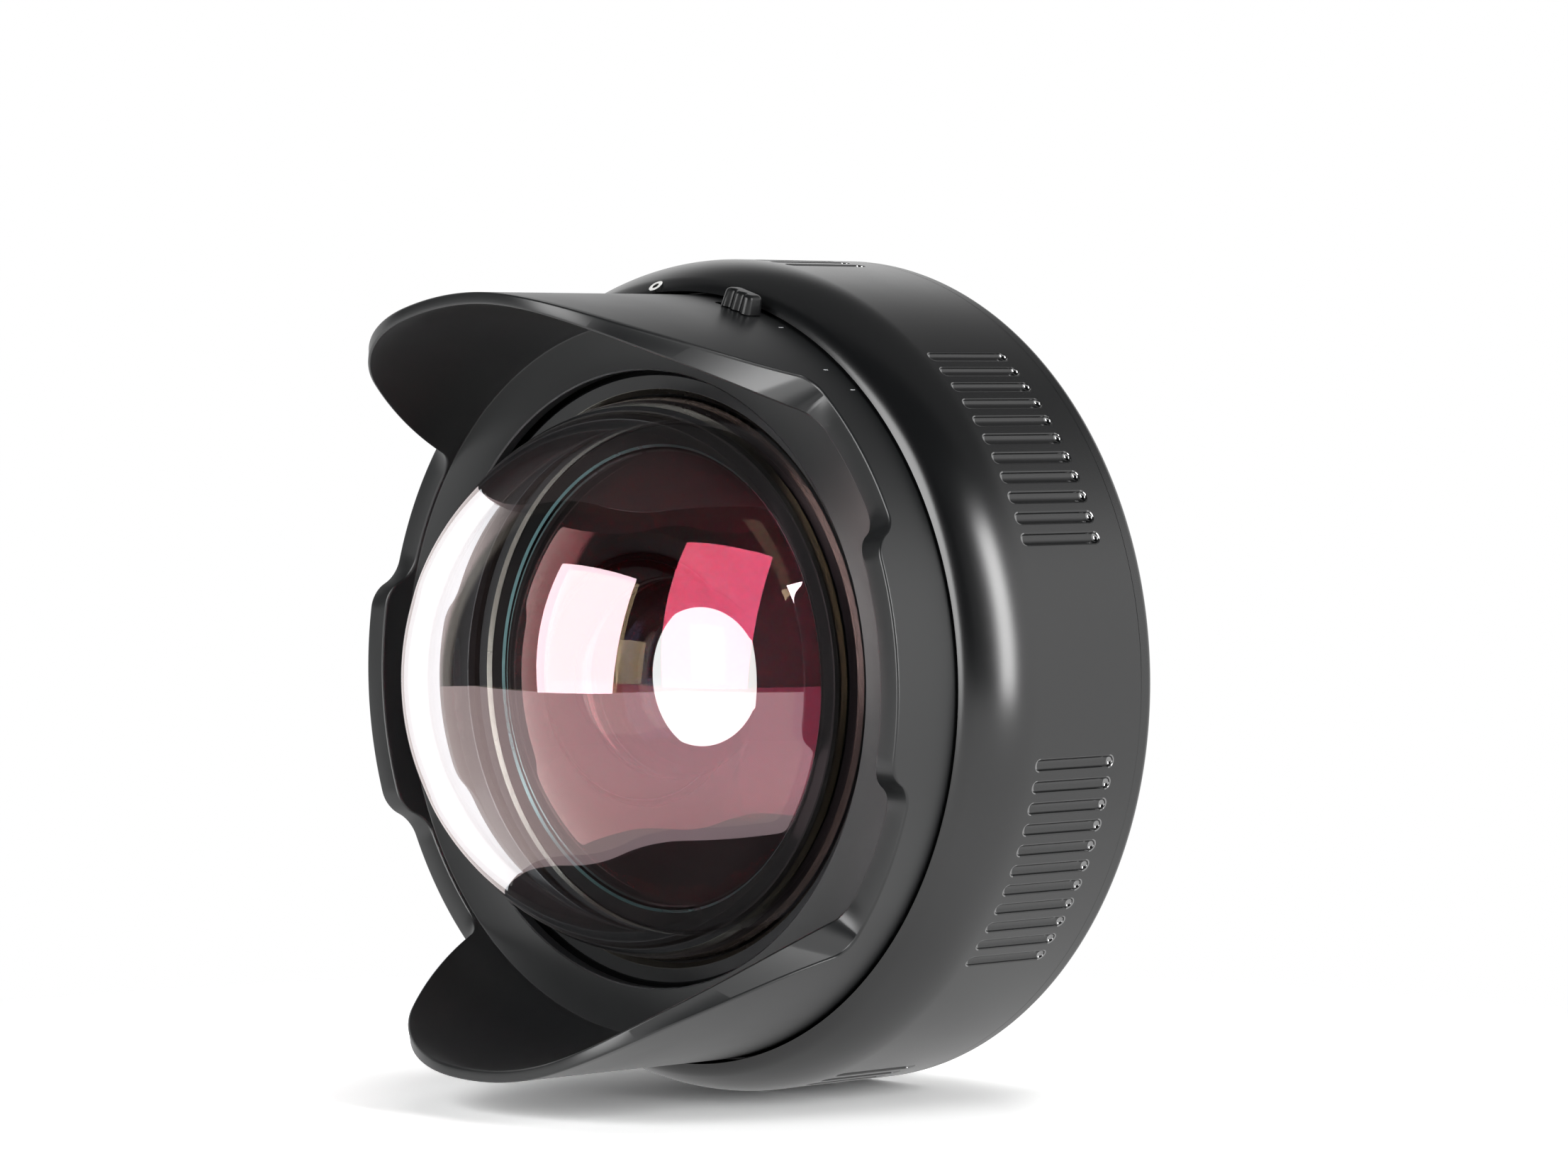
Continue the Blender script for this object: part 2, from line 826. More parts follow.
    def well_cutter(self, radius: float, span: Point) -> bpy.types.Object:
        """Build the tool for the screw wells: a round rod at each screw.

        Args:
            radius: Radius of the rods.
            span: Their rear and front end.

        Returns:
            The tool.
        """
        bodies = []
        for index in range(self.screws):
            x, _, z = around(self.screw_pitch, 360.0 * index / self.screws, 0.0)
            circle = circle_points((x, z), radius, 0.0, 360.0, 48)[:-1]
            bodies.append([[(x, y, z) for x, z in circle] for y in span])
        return loft("well_cutter", bodies)

    def build(self) -> None:
        """Build every piece of the collar and dress what stays."""
        self.shell()
        self.cover()
        IndexRing((self.radius - self.nose_radius, self.straight_y), self.nose_radius).build()
        dress(FOAM_CELLS, "foam", "collar_foam")
        dress(SEAL_RUBBER, "seal_rubber", "collar_seal")
        dress(STEEL_BRIGHT, "stainless", "collar_screws")


# The hood


@dataclass
class Hood:
    """Tulip hood: a cup whose wall rises in two tall and two low petals.

    Sizes are millimetres and degrees. Outlines are those that the petals are cut to.
    """

    outer: float = 78.6
    inner_base: float = 73.2
    inner_crest: float = 76.2
    base_y: float = -64.8
    floor_y: float = -64.0
    floor_back_y: float = -61.4
    floor_bore: float = 63.1
    skirt_inner: float = 74.6
    skirt_end_y: float = -46.5
    tall_y: float = -110.5
    low_y: float = -70.7
    low_flat: float = 19.7
    low_foot: float = 29.4
    shoulder_x: float = 14.5
    shoulder_radius: float = 31.0
    shoulder_end: float = 56.0
    flank_radius: float = 95.0
    foot_round: float = 4.0
    skirt_lead: float = 1.2
    skirt_round: float = 0.3
    columns: int = 1200
    rows: int = 18
    skirt_rows: int = 8
    slot_angle: float = 69.3
    slot_half: float = 3.8
    slot_span: Point = (-60.5, -57.1)
    slot_reach: Point = (72.0, 84.0)
    lug_section: tuple[Point, ...] = ((72.2, -49.7), (74.7, -49.7), (74.7, -47.2), (72.2, -47.2))
    lug_centres: tuple[float, ...] = (90.0, 210.0, 330.0)
    lug_arc: float = 28.0
    tick_places: tuple[Point, ...] = ((60.7, -56.8), (48.4, -58.65), (43.8, -55.98))
    tick_half: Point = (0.09, 0.6)
    tick_depth: float = 0.05
    tick_proud: float = 0.02

    def __post_init__(self) -> None:
        """Work out the tall petals' arcs from the driving sizes."""
        turn = math.radians(self.shoulder_end)
        reach = self.flank_radius - self.shoulder_radius
        self.shoulder_cy = self.tall_y + self.shoulder_radius
        self.flank_x = self.shoulder_x - reach * math.sin(turn)
        self.flank_cy = self.shoulder_cy + reach * math.cos(turn)
        self.foot_cy = self.base_y - self.foot_round
        drop = self.foot_cy - self.flank_cy
        span = self.flank_radius + self.foot_round
        self.foot_cx = self.flank_x + math.sqrt(span**2 - drop**2)
        foot_turn = math.asin((self.foot_cx - self.flank_x) / span)
        self.shoulder_reach = self.shoulder_x + self.shoulder_radius * math.sin(turn)
        self.flank_reach = self.flank_x + self.flank_radius * math.sin(foot_turn)

    def tall_rim(self, x: float) -> float:
        """Height of the tall petals' outline at a distance from the middle plane.

        Args:
            x: Distance from the upright middle plane, on either side.

        Returns:
            Y of the outline, less where it is taller.
        """
        x = abs(x)
        if x <= self.shoulder_x:
            return self.tall_y
        if x <= self.shoulder_reach:
            return self.shoulder_cy - math.sqrt(self.shoulder_radius**2 - (x - self.shoulder_x) ** 2)
        if x <= self.flank_reach:
            return self.flank_cy - math.sqrt(max(self.flank_radius**2 - (x - self.flank_x) ** 2, 0.0))
        if x < self.foot_cx:
            return self.foot_cy + math.sqrt(max(self.foot_round**2 - (x - self.foot_cx) ** 2, 0.0))
        return self.base_y

    def low_rim(self, z: float) -> float:
        """Height of the low petals' outline at a distance from the middle plane.

        Args:
            z: Distance from the level middle plane, on either side.

        Returns:
            Y of the outline, less where it is taller.
        """
        z = abs(z)
        run, rise = self.low_foot - self.low_flat, self.base_y - self.low_y
        radius = (run**2 + rise**2) / (4 * rise)
        if z <= self.low_flat:
            return self.low_y
        if z >= self.low_foot:
            return self.base_y
        if z <= (self.low_flat + self.low_foot) / 2:
            return self.low_y + radius - math.sqrt(radius**2 - (z - self.low_flat) ** 2)
        return self.base_y - radius + math.sqrt(radius**2 - (self.low_foot - z) ** 2)

    def inner_radius(self, y: float) -> float:
        """Radius of the inner wall at a height."""
        part = (y - self.base_y) / (self.tall_y - self.base_y)
        return self.inner_base + (self.inner_crest - self.inner_base) * min(max(part, 0.0), 1.0)

    def rim(self, radius: float, angle: float) -> float:
        """Height of the rim at a radius and an angle."""
        x, _, z = around(radius, angle, 0.0)
        return min(self.tall_rim(x), self.low_rim(z))

    def inner_rim(self, angle: float) -> float:
        """Close in on the height at which the rim meets the flared inner wall.

        Args:
            angle: Angle round the axis in degrees.

        Returns:
            Y of the rim.
        """
        y = self.rim(self.inner_base, angle)
        for _ in range(12):
            y = 0.5 * (y + self.rim(self.inner_radius(y), angle))
        return y

    def even_angles(self) -> list[float]:
        """Space the columns evenly along the rim, so that its steep sides get as many faces.

        Returns:
            As many angles in degrees as there are columns.
        """
        fine = 12 * self.columns
        angles = [360.0 * i / fine for i in range(fine + 1)]
        mid = (self.outer + self.inner_base) / 2
        heights = [self.rim(mid, a) for a in angles]
        run = mid * math.radians(360.0 / fine)
        lengths = [0.0]
        for low, high in zip(heights, heights[1:]):
            lengths.append(lengths[-1] + math.hypot(run, high - low))
        made: list[float] = []
        place = 0
        for c in range(self.columns):
            goal = lengths[-1] * c / self.columns
            while lengths[place + 1] < goal:
                place += 1
            part = (goal - lengths[place]) / (lengths[place + 1] - lengths[place])
            made.append(angles[place] + part * 360.0 / fine)
        return made

    def section(self, angle: float) -> list[Point]:
        """Draw the wall's section at an angle: skirt, outside, rim, inside and floor.

        Args:
            angle: Angle round the axis in degrees.

        Returns:
            Closed (radius, y) outline, always with as many points.
        """
        top, inner_top = self.rim(self.outer, angle), self.inner_rim(angle)
        inner, ease, soft = self.inner_radius(inner_top), Corner.SOFT.value, self.skirt_round
        skirt, shoulder, end = self.skirt_end_y, self.base_y + self.skirt_lead, top + ease
        points = [(self.skirt_inner + soft, skirt), (self.outer - soft, skirt), (self.outer, skirt - soft)]
        spans = ((skirt - soft, shoulder, self.skirt_rows), (shoulder, end, self.rows))
        for low, high, rows in spans:
            points += [(self.outer, low + (high - low) * i / rows) for i in range(1, rows + 1)]
        points += circle_points((self.outer - ease, top + ease), ease, 0.0, -90.0, 4)[1:]
        points += circle_points((inner + ease, inner_top + ease), ease, -90.0, -180.0, 4)
        start, end = inner_top + ease, self.floor_y - 0.35
        for i in range(1, self.rows + 1):
            y = start + (end - start) * i / self.rows
            points.append((self.inner_radius(y), y))
        points += [(self.inner_base - 0.1, self.floor_y - 0.1), (self.inner_base - 0.4, self.floor_y)]
        points += [(self.floor_bore + soft, self.floor_y), (self.floor_bore, self.floor_y + soft)]
        points += [(self.floor_bore, self.floor_back_y), (self.skirt_inner, self.floor_back_y)]
        return points + [(self.skirt_inner, skirt - soft)]

    def shell(self) -> None:
        """Build the hood's wall, floor and skirt, with the slot for the latch."""
        rings = [[around(r, angle, y) for r, y in self.section(angle)] for angle in self.even_angles()]
        thing = loft("hood_looks", [rings], [HOOD_SATIN], looped=True, sharp=40.0)
        cut(thing, self.slot_cutter())
        settle(thing, Body.HOOD, ["hood"])

    def slot_cutter(self) -> bpy.types.Object:
        """Build the tool for the latch slot: a curved bar with round ends.

        Returns:
            The tool.
        """
        front, rear = self.slot_span
        half_y = (rear - front) / 2
        end = math.degrees(half_y / self.outer)
        outline: list[Point] = []
        for sign, first in ((1, -90.0), (-1, 90.0)):
            for across, along in circle_points((0.0, 0.0), 1.0, first, first + 180.0, 24):
                middle = self.slot_angle + sign * (self.slot_half - end)
                outline.append((middle + end * across, (front + rear) / 2 + half_y * along))
        rings = [[around(radius, angle, y) for angle, y in outline] for radius in self.slot_reach]
        return loft("slot_cutter", [rings])

    def lugs(self) -> None:
        """Build the three bayonet lugs inside the skirt."""
        ring = soften(self.lug_section, Corner.EASED.value)
        thing = sector("hood_lugs", ring, self.lug_centres, self.lug_arc, HOOD_SATIN)
        settle(thing, Body.HOOD, [])

    def ticks(self) -> None:
        """Build the three short lines on the skirt, filled with pale enamel."""
        spin, along = self.tick_half
        corners = [(-spin, -along), (spin, -along), (spin, along), (-spin, along)]
        radii = (self.outer - self.tick_depth, self.outer + self.tick_proud)
        bodies = [
            [[around(radius, angle + a, y + b) for a, b in corners] for radius in radii]
            for angle, y in self.tick_places
        ]
        settle(loft("skirt_ticks", bodies, [MARK_GREY]), Body.HOOD, [])

    def build(self) -> None:
        """Build every piece of the hood."""
        self.shell()
        self.lugs()
        self.ticks()


@dataclass
class Latch:
    """Latch that holds the hood: fluted pad, its neck and shoe, guide, sprung bolt and screws.

    Sizes are millimetres and degrees. The pad is drawn on a plane that faces outwards.
    """

    angle: float = 68.0
    base: float = 77.5
    top: float = 82.6
    foot: float = 78.8
    middle_y: float = -58.95
    half_width: float = 4.25
    half_length: float = 2.65
    corner: float = 1.5
    taper: float = 6.0
    top_round: float = 0.9
    levels: Point = (2.0, 3.0)
    flute_reach: float = 2.75
    flute_depth: float = 0.75
    neck: tuple[Point, ...] = ((74.0, -60.2), (79.2, -60.2), (79.2, -57.4), (74.0, -57.4))
    neck_arc: float = 4.4
    shoe: tuple[Point, ...] = ((73.4, -60.9), (74.4, -60.9), (74.4, -55.2), (73.4, -55.2))
    shoe_arc: float = 7.6
    travel: float = 2.6
    cam_ends: tuple[Point, Point] = ((0.0, -2.05), (-3.353, -0.05))
    cam_radius: float = 1.35
    cam_span: Point = (-6.0, -1.5)
    coil_turns: int = 5
    coil_radius: float = 0.62
    coil_pitch_radius: float = 71.3
    coil_wire: float = 0.15
    coil_ends: Point = (-61.24, -55.06)

    def outline(self, inset: float) -> list[Point]:
        """Draw the pad's outline, with the two flutes in its front.

        Args:
            inset: How far it is drawn in, in millimetres.

        Returns:
            Points on the facing plane.
        """
        wide, long = self.half_width - inset, self.half_length - inset
        ease = self.corner - inset / 2
        made: list[Point] = []
        for sx, sy, start in ((1, -1, -90), (1, 1, 0), (-1, 1, 90), (-1, -1, 180)):
            made += circle_points((sx * (wide - ease), sy * (long - ease)), ease, start, start + 90, 10)
            if start == 0:
                for step in range(1, 48):
                    x = (wide - ease) * (1 - step / 24)
                    made.append((x, long - self.flute_depth * math.sin(math.pi * x / self.flute_reach) ** 2))
        return made

    def place(self, x: float, y: float, height: float) -> Spot:
        """Put a point of the facing plane in its place.

        Args:
            x: How far round the hood.
            y: How far forward.
            height: How far out from the pad's base.

        Returns:
            The point.
        """
        reach = self.base + height
        out, side = bearing(self.angle), bearing(self.angle + 90.0)
        return (out[0] * reach + side[0] * x, self.middle_y - y, out[1] * reach + side[1] * x)

    def pad(self) -> None:
        """Build the pad: a foot that follows the skirt, tapered sides and a rounded top."""
        tall = self.top - self.base
        slope = math.tan(math.radians(self.taper))
        levels = [(h, h * slope) for h in (*self.levels, tall - self.top_round)]
        for out, height in circle_points((0.0, tall - self.top_round), self.top_round, 0.0, 90.0, 7)[1:]:
            levels.append((height, height * slope + self.top_round - out))
        low = self.outline((self.foot - self.base) * slope)
        rings = [[self.place(x, y, math.sqrt(self.foot**2 - x**2) - self.base) for x, y in low]]
        rings += [[self.place(x, y, height) for x, y in self.outline(inset)] for height, inset in levels]
        thing = loft("latch_pad_looks", [rings], [LATCH_BLACK])
        settle(thing, Body.SLIDER, ["latch_slider"])

    def cam_cutter(self) -> bpy.types.Object:
        """Build the tool for the slanted slot that draws the bolt's peg.

        Returns:
            The tool.
        """
        (x0, y0), (x1, y1) = self.cam_ends
        way = math.degrees(math.atan2(y1 - y0, x1 - x0))
        flat = circle_points((x1, y1), self.cam_radius, way - 90.0, way + 90.0, 16)
        flat += circle_points((x0, y0), self.cam_radius, way + 90.0, way + 270.0, 16)
        return loft("cam_cutter", [[[self.place(x, y, height) for x, y in flat] for height in self.cam_span]])

    def spring(self) -> None:
        """Build the return spring. One end stays on the hood, the other goes with the bolt."""
        steps = 24 * self.coil_turns
        x, _, z = around(self.coil_pitch_radius, self.angle, 0.0)
        foot, top = self.coil_ends
        wire = circle_points((self.coil_radius, 0.0), self.coil_wire, 0.0, 360.0, 10)[:-1]
        rings: list[list[Spot]] = []
        for step in range(steps + 1):
            way, y = bearing(360.0 * self.coil_turns * step / steps), foot + (top - foot) * step / steps
            rings.append([(x + reach * way[0], y + rise, z + reach * way[1]) for reach, rise in wire])
        thing = loft("latch_spring_looks", [rings], [STEEL_BRIGHT])
        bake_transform(thing)
        settle(thing, None, ["latch_spring"])

    def build(self) -> None:
        """Build the pad with its neck, shoe and spring, and dress the rest."""
        self.pad()
        neck = sector("latch_neck", self.neck, (self.angle,), self.neck_arc, LATCH_BLACK)
        settle(neck, Body.SLIDER, [])
        shoe = sector("latch_shoe", self.shoe, (self.angle - self.travel / 2,), self.shoe_arc, LATCH_BLACK)
        cut(shoe, self.cam_cutter())
        settle(shoe, Body.SLIDER, [])
        dress(GUIDE_PLASTIC, "guide_plastic", "latch_guide")
        dress(STEEL_BRIGHT, "stainless", "latch_guide_screws", "latch_bolt")
        self.spring()


# The optics


def cap_points(curve: float, apex: float, radius: float, steps: int) -> list[Point]:
    """Points on a spherical surface from the axis outwards, centred behind its apex.

    Args:
        curve: Radius of curvature, below zero where the centre lies in front.
        apex: Where it meets the axis.
        radius: Where it ends.
        steps: Number of steps.

    Returns:
        The points, from the axis outwards.
    """
    side = math.copysign(1.0, curve)
    tilt = math.degrees(math.asin(radius / abs(curve)))
    return circle_points((0.0, apex + curve), abs(curve), -90.0 * side, (tilt - 90.0) * side, steps)


@dataclass(frozen=True)
class Element:
    """One glass element: two spherical faces joined by a ground edge.

    Each face is its radius of curvature, where it meets the axis and where it ends.
    """

    name: str
    front: Spot
    rear: Spot
    glass: GlassFinish
    edge: tuple[Point, ...] = ()
    steps: int = 72

    def build(self) -> None:
        """Build the element. Its polished faces are glass, and its ground edge is blackened."""
        front, rear = (cap_points(*face, self.steps) for face in (self.front, self.rear))
        outline = [*front, *self.edge, *rear[::-1]]
        ground = {*self.edge, rear[-1]}

        def side(first: Point, second: Point) -> int:
            """Return 1 on the ground edge, 0 on a polished face."""
            return int(second in ground and (first in ground or first == front[-1]))

        thing = lathe(f"{self.name}_looks", outline, [self.glass, LENS_BLACK], 320, side, 20.0)
        settle(thing, Body.PORT, [self.name])


@dataclass(frozen=True)
class TurnedRing:
    """One ring turned from bar: its (radius, y) outline, with a bright cut where it has one.

    The cut takes the faces that lie inside its radius and in front of its y.
    """

    name: str
    outline: tuple[Point, ...]
    finish: SolidFinish
    corner: Corner | None = None
    bright: SolidFinish | None = None
    cut_inside: float = 0.0
    cut_front: float = 0.0
    columns: int = 320
    keys: int = 0
    key_reach: Point = (45.5, 53.0)
    key_span: Point = (-9.0, -6.0)
    key_width: float = 3.0

    def bright_slot(self, first: Point, second: Point) -> int:
        """Return 1 on the bright cut, 0 elsewhere."""
        return int(max(first[0], second[0]) < self.cut_inside and min(first[1], second[1]) < self.cut_front)

    def key_cutter(self, angle: float) -> bpy.types.Object:
        """Build the tool for a key slot: a bar that points outwards.

        Args:
            angle: Angle round the axis in degrees.

        Returns:
            The tool.
        """
        out, side, half = bearing(angle), bearing(angle + 90.0), self.key_width / 2
        low, high = self.key_reach
        corners = ((low, -half), (high, -half), (high, half), (low, half))
        flat = [(out[0] * r + side[0] * w, out[1] * r + side[1] * w) for r, w in corners]
        return loft("key_cutter", [[[(x, y, z) for x, z in flat] for y in self.key_span]])

    def build(self) -> None:
        """Build the ring, with the slots that a key turns it by."""
        outline = soften(self.outline, self.corner.value) if self.corner else self.outline
        finishes = [self.finish, self.bright] if self.bright else [self.finish]
        thing = lathe(f"{self.name}_looks", outline, finishes, self.columns, self.bright_slot)
        for index in range(self.keys):
            cut(thing, self.key_cutter((index + 0.5) * 360.0 / self.keys))
        settle(thing, Body.PORT, [self.name])


ELEMENTS = (
    Element(
        "front_element",
        (58.2, -110.9, 58.0),
        (53.1, -105.8, math.sqrt(53.1**2 - 1.5**2)),
        DOME_GLASS,
        ((59.4, -57.6), (59.4, -54.2)),
        120,
    ),
    Element(
        "second_element",
        (70.0, -79.05, 48.0),
        (27.2, -75.75, math.sqrt(27.2**2 - 7.35**2)),
        PINK_GLASS,
        ((48.0, -55.9),),
    ),
    Element("third_element", (95.0, -52.4, 33.0), (70.0, -44.5, 33.0), INNER_GLASS),
    Element("fourth_element", (70.0, -43.9, 33.0), (100.0, -37.4, 33.0), INNER_GLASS),
    Element(
        "rear_element",
        (200.0, -14.0, 33.0),
        (-220.0, -7.2 + 220.0 - math.sqrt(220.0**2 - 33.0**2), 33.0),
        INNER_GLASS,
    ),
)

RINGS = (
    TurnedRing(
        "front_retaining_ring",
        (
            (58.25, -57.6), (58.25, -58.6), (59.3, -59.6), (62.1, -60.3), (62.6, -59.8),
            (62.6, -54.3), (61.3, -54.3), (61.3, -57.6),
        ),
        BARREL_BLACK,
        Corner.CRISP,
        BEVEL_BRIGHT,
        59.45,
        -58.3,
        columns=384,
    ),
    TurnedRing(
        "second_element_ring",
        (
            (47.0, -61.0), (47.0, -61.4), (47.5, -61.9), (51.1, -61.9), (51.6, -61.4),
            (51.6, -57.0), (50.1, -57.0), (50.1, -61.0),
        ),
        LENS_BLACK,
        bright=CHAMFER_TEAL,
        cut_inside=47.52,
        cut_front=-61.5,
    ),
    TurnedRing(
        "lens_cell",
        (
            (34.0, -51.7), (46.4, -51.7), (46.4, -51.2), (45.2, -51.2), (45.2, -49.6),
            (46.4, -49.6), (46.4, -46.6), (44.6, -45.4), (44.6, -18.4), (46.4, -17.2),
            (46.4, -14.0), (49.5, -14.0), (49.5, -11.0), (38.0, -11.0), (38.0, -5.0), (34.0, -5.0),
            (34.0, -7.2), (33.1, -7.2), (33.1, -46.5), (31.0, -47.25), (31.0, -48.6),
        ),
        LENS_BLACK,
        Corner.CRISP,
    ),
    TurnedRing(
        "stop_ring",
        ((21.7, -24.5), (23.3, -25.5), (33.0, -25.5), (33.0, -23.7), (23.3, -23.7), (21.7, -24.2)),
        LENS_BLACK,
        Corner.FINE,
    ),
    TurnedRing(
        "rear_retaining_ring",
        ((38.3, -11.0), (49.6, -11.0), (49.6, -7.0), (38.3, -7.0)),
        BARREL_BLACK,
        Corner.EASED,
        keys=4,
    ),
)


@dataclass
class Optics:
    """The glass and the rings that hold it, from the dome to the rear element."""

    elements: tuple[Element, ...] = ELEMENTS
    rings: tuple[TurnedRing, ...] = RINGS

    def build(self) -> None:
        """Build the optics and dress what stays."""
        for piece in (*self.elements, *self.rings):
            piece.build()
        spacers = ("thin_spacer", "middle_spacer", "rear_spacer")
        dress(LENS_BLACK, "black_anodised", *spacers, "second_element_cup")
        dress(BARREL_BLACK, "black_anodised", "cell_retaining_ring")
        dress(SEAL_RUBBER, "seal_rubber", "front_element_seal", "cell_seal")


@dataclass
class Barrel:
    """Port barrel, rear mount and the ring that carries the hood."""

    turned: tuple[str, ...] = ("port_barrel", "port_flange", "hood_bayonet_ring")
    seals: tuple[str, ...] = ("flange_seal", "spigot_seal", "mount_o_ring")

    def build(self) -> None:
        """Dress the barrel and the mount."""
        dress(BARREL_BLACK, "black_anodised", *self.turned)
        dress(SEAL_RUBBER, "seal_rubber", *self.seals)
        dress(STEEL_TURNED, "mount_ring", "mount_bayonet_ring")
        dress(STEEL_BRIGHT, "stainless", "mount_ring_screws")


# The studio


@dataclass(frozen=True)
class Lamp:
    """One soft lamp: the way to it from the part, its distance and size in metres, its watts."""

    name: str
    way: Spot
    distance: float
    size: Point
    power: float
    mirrored: bool = True


@dataclass
class Studio:
    """White sweep, soft lamps and the camera."""

    # Metres in one unit of the camera fit, in which the collar's radius is 1.
    scale: float = 0.086
    lean: float = 5.04
    floor_depth: float = 86.02
    floor_reach: float = 1500.0
    # Lit paper round the part's foot fades into plain white between these distances in metres.
    floor_fade: Point = (0.12, 0.25)
    foot_y: float = -0.035
    focal_length: float = 140.147
    camera_place: Spot = (10.5325918, -10.70098219, -0.19850636)
    camera_axes: tuple[Spot, Spot, Spot] = (
        (0.70146358, 0.71001535, -0.06186318),
        (0.06287039, 0.02481694, 0.9977131),
        (0.70992687, -0.70374876, -0.02723076),
    )
    backdrop_way: Spot = (-0.423, 0.906, 0.0)
    lamps: tuple[Lamp, ...] = (
        Lamp("soft_box_left", (0.034, -0.948, 0.31), 1.3, (0.76, 1.12), 15.0),
        Lamp("strip_right", (0.947, 0.175, 0.27), 1.3, (0.32, 0.95), 10.5),
        Lamp("overhead", (-0.1, 0.3, 1.0), 1.8, (1.0, 1.0), 14.0, mirrored=False),
    )

    def leaned(self, way: Spot) -> Vector:
        """Lean a direction that is given upright to the floor, as the part leans on its round collar.

        Args:
            way: The direction, with Z straight up from the floor.

        Returns:
            The direction in the part's own frame.
        """
        turn = math.radians(self.lean)
        x, y, z = way
        return Vector((x * math.cos(turn) + z * math.sin(turn), y, z * math.cos(turn) - x * math.sin(turn)))

    def hang(self, name: str, data: Any, place: Vector, axes: Sequence[Vector]) -> bpy.types.Object:
        """Put a camera or lamp in the scene.

        Args:
            name: Name of the object.
            data: Its camera or light.
            place: Where it stands, in metres.
            axes: Its right, up and back.

        Returns:
            The object.
        """
        thing = bpy.data.objects.new(name, data)
        bpy.context.scene.collection.objects.link(thing)
        thing.matrix_world = Matrix.Translation(place) @ Matrix(axes).transposed().to_4x4()
        return thing

    def camera(self) -> None:
        """Make the camera at the photograph's place."""
        data = bpy.data.cameras.new("camera")
        data.sensor_fit = "HORIZONTAL"
        data.sensor_width = 36.0
        data.lens = self.focal_length
        data.clip_start, data.clip_end = 0.05, 20.0
        axes = [Vector(axis) for axis in self.camera_axes]
        place = Vector(self.camera_place) * self.scale
        bpy.context.scene.camera = self.hang("camera", data, place, axes)

    def floor(self) -> None:
        """Make the pale floor. It is white to the eye and keeps the part's shadow."""
        material, add = new_material("Paper sweep, matt, white")
        path = add("LightPath").outputs
        rays = {0: path["Is Glossy Ray"], 1: path["Is Transmission Ray"]}
        mirrored = add("Math", rays, operation="MAXIMUM").outputs[0]
        greys = ((grey, grey, grey, 1.0) for grey in (0.8, 1.7, 0.55))
        paper, bright, soft = (add("BsdfDiffuse", {"Color": grey}).outputs[0] for grey in greys)
        glow, white = (add("Emission", {"Color": WHITE, "Strength": s}).outputs[0] for s in (0.5, 1.0))
        soft = add("AddShader", {0: soft, 1: glow}).outputs[0]
        up, side = self.leaned((0.0, 0.0, 1.0)), self.leaned((1.0, 0.0, 0.0))
        foot = tuple(up * -self.floor_depth * MM + Vector((0.0, self.foot_y, 0.0)))
        where = add("TexCoord").outputs["Object"]
        reach = add("VectorMath", {0: where, 1: foot}, operation="DISTANCE").outputs["Value"]
        span = {"Value": reach, "From Min": self.floor_fade[0], "From Max": self.floor_fade[1]}
        far = add("MapRange", span, interpolation_type="SMOOTHSTEP").outputs[0]
        eye, gloss = (add("MixShader", {0: far, 1: near, 2: white}).outputs[0] for near in (bright, soft))
        mixed = add("MixShader", {0: mirrored, 1: paper, 2: gloss}).outputs[0]
        mixed = add("MixShader", {0: path["Is Camera Ray"], 1: mixed, 2: eye}).outputs[0]
        add("OutputMaterial", {"Surface": mixed})
        ways = ((-1, -1), (1, -1), (1, 1), (-1, 1))
        spots = [side * x * self.floor_reach - up * self.floor_depth for x, _ in ways]
        corners = [(spot.x, y * self.floor_reach, spot.z) for spot, (_, y) in zip(spots, ways)]
        thing = make_piece("floor", corners, [[0, 1, 2, 3]], outwards=False)
        thing.data.materials.append(material)

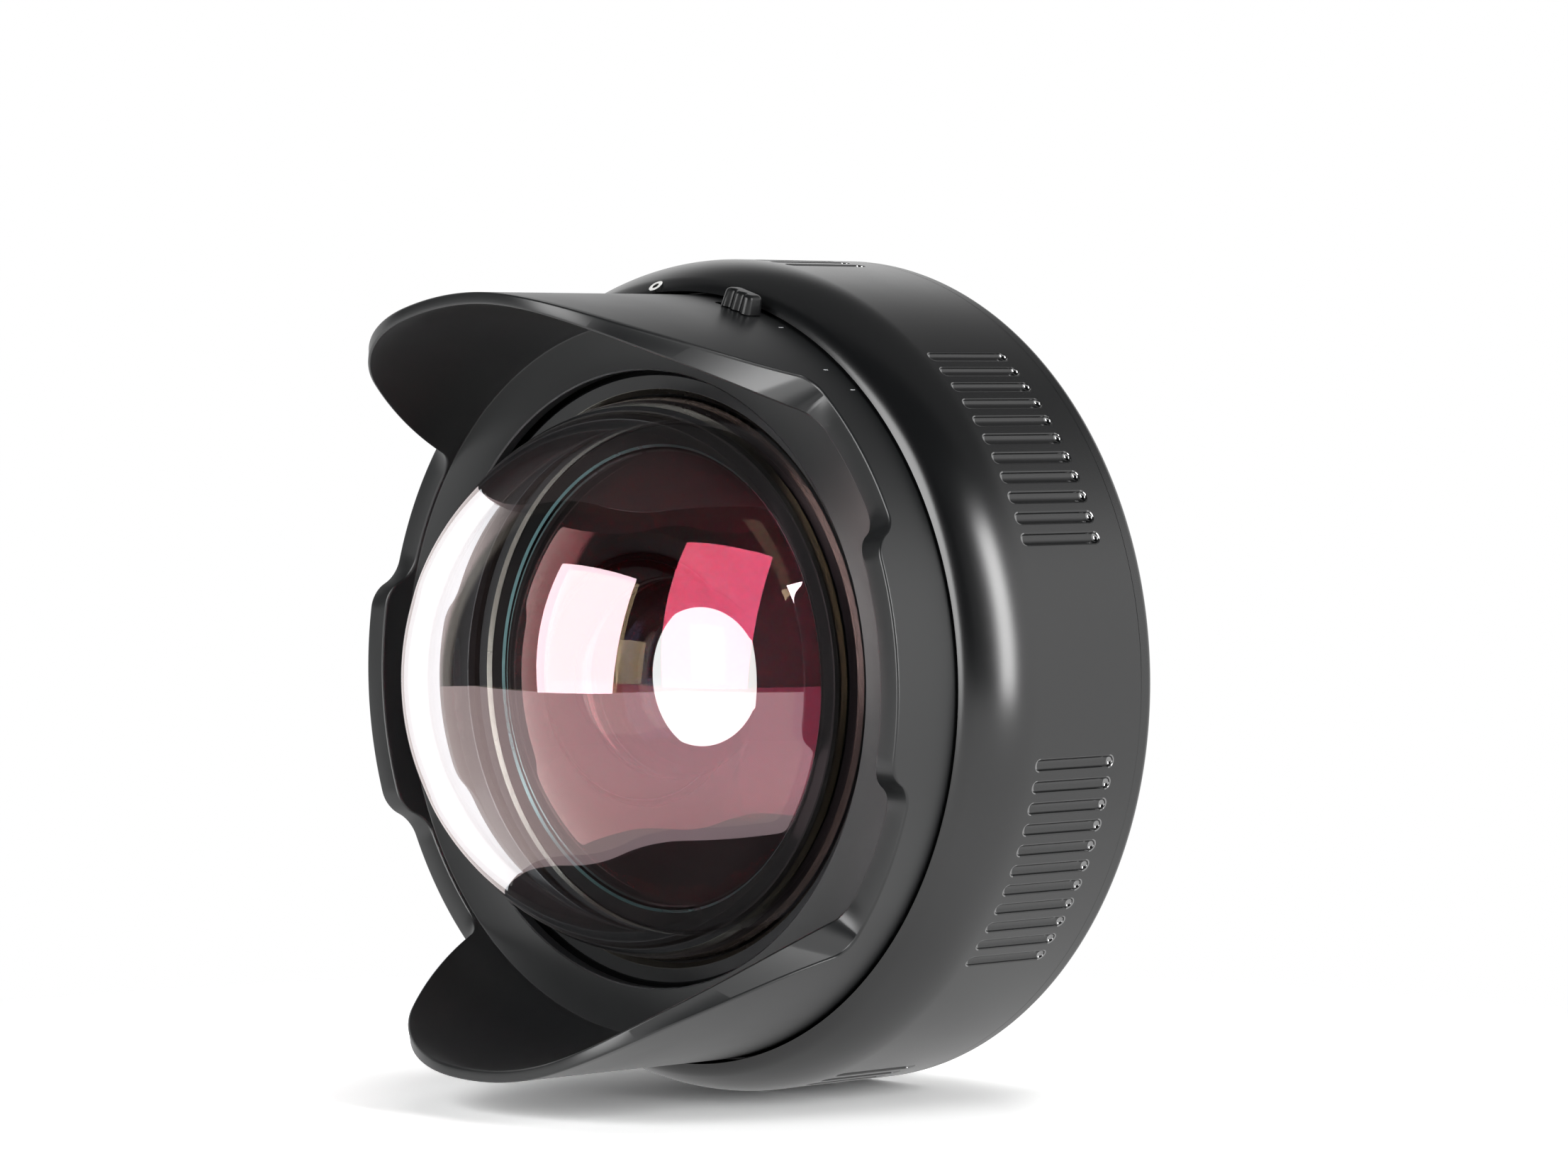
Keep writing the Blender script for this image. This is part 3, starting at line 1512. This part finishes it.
    def world(self) -> None:
        """White all round to the eye; to gloss and glass, white behind the part and dark before it."""
        world = bpy.data.worlds.new("studio")
        bpy.context.scene.world = world
        world.use_nodes = True
        world.node_tree.nodes.clear()
        add = partial(add_node, world.node_tree)
        way = add("TexCoord").outputs["Generated"]
        behind, up = self.leaned(self.backdrop_way).normalized(), self.leaned((0.0, 0.0, 1.0))
        facing = add("VectorMath", {0: way, 1: tuple(behind)}, operation="DOT_PRODUCT").outputs["Value"]
        span = {"Value": facing, "From Min": 0.04, "From Max": 0.12, "To Min": 0.03, "To Max": 1.0}
        backdrop = add("MapRange", span, interpolation_type="SMOOTHSTEP").outputs[0]
        above = add("VectorMath", {0: way, 1: tuple(up)}, operation="DOT_PRODUCT").outputs["Value"]
        span = {"Value": above, "From Min": 0.35, "From Max": 0.7, "To Min": 1.0, "To Max": 0.12}
        height = add("MapRange", span, interpolation_type="SMOOTHSTEP").outputs[0]
        sheet = add("Math", {0: backdrop, 1: height}, operation="MULTIPLY").outputs[0]
        depth = add("SeparateXYZ", {0: way}).outputs["Y"]
        rear = add("Math", {0: depth, 1: 0.1}, operation="GREATER_THAN").outputs[0]
        path = add("LightPath").outputs
        through = add("Math", {0: path["Is Transmission Ray"], 1: rear}, operation="MULTIPLY").outputs[0]
        seen = add("Math", {0: path["Is Camera Ray"], 1: through}, operation="MAXIMUM").outputs[0]
        seen = add("Math", {0: seen, 1: sheet}, operation="MAXIMUM").outputs[0]
        back = add("Background", {"Color": WHITE, "Strength": seen})
        add("OutputWorld", {"Surface": back.outputs[0]})

    def light(self, lamp: Lamp) -> None:
        """Hang one lamp so that it faces the part.

        Args:
            lamp: The lamp.
        """
        data = bpy.data.lights.new(lamp.name, "AREA")
        data.shape = "RECTANGLE"
        data.size, data.size_y = lamp.size
        data.energy = lamp.power
        out = self.leaned(lamp.way).normalized()
        right = self.leaned((0.0, 0.0, 1.0)).cross(out).normalized()
        thing = self.hang(lamp.name, data, out * lamp.distance, (right, out.cross(right), out))
        thing.visible_glossy = lamp.mirrored

    def build(self) -> None:
        """Build the studio."""
        self.camera()
        self.floor()
        self.world()
        for lamp in self.lamps:
            self.light(lamp)


def main() -> None:
    """Build the part's looks and the studio, and keep both boxes."""
    logging.basicConfig(level=logging.INFO, format="%(message)s")
    for assembly in (Barrel(), Optics(), Collar(), Hood(), Latch()):
        assembly.build()
        log.info("%s done", type(assembly).__name__)
    Studio().build()
    scene = bpy.context.scene
    scene.view_settings.view_transform = "Standard"


if __name__ == "__main__":
    main()
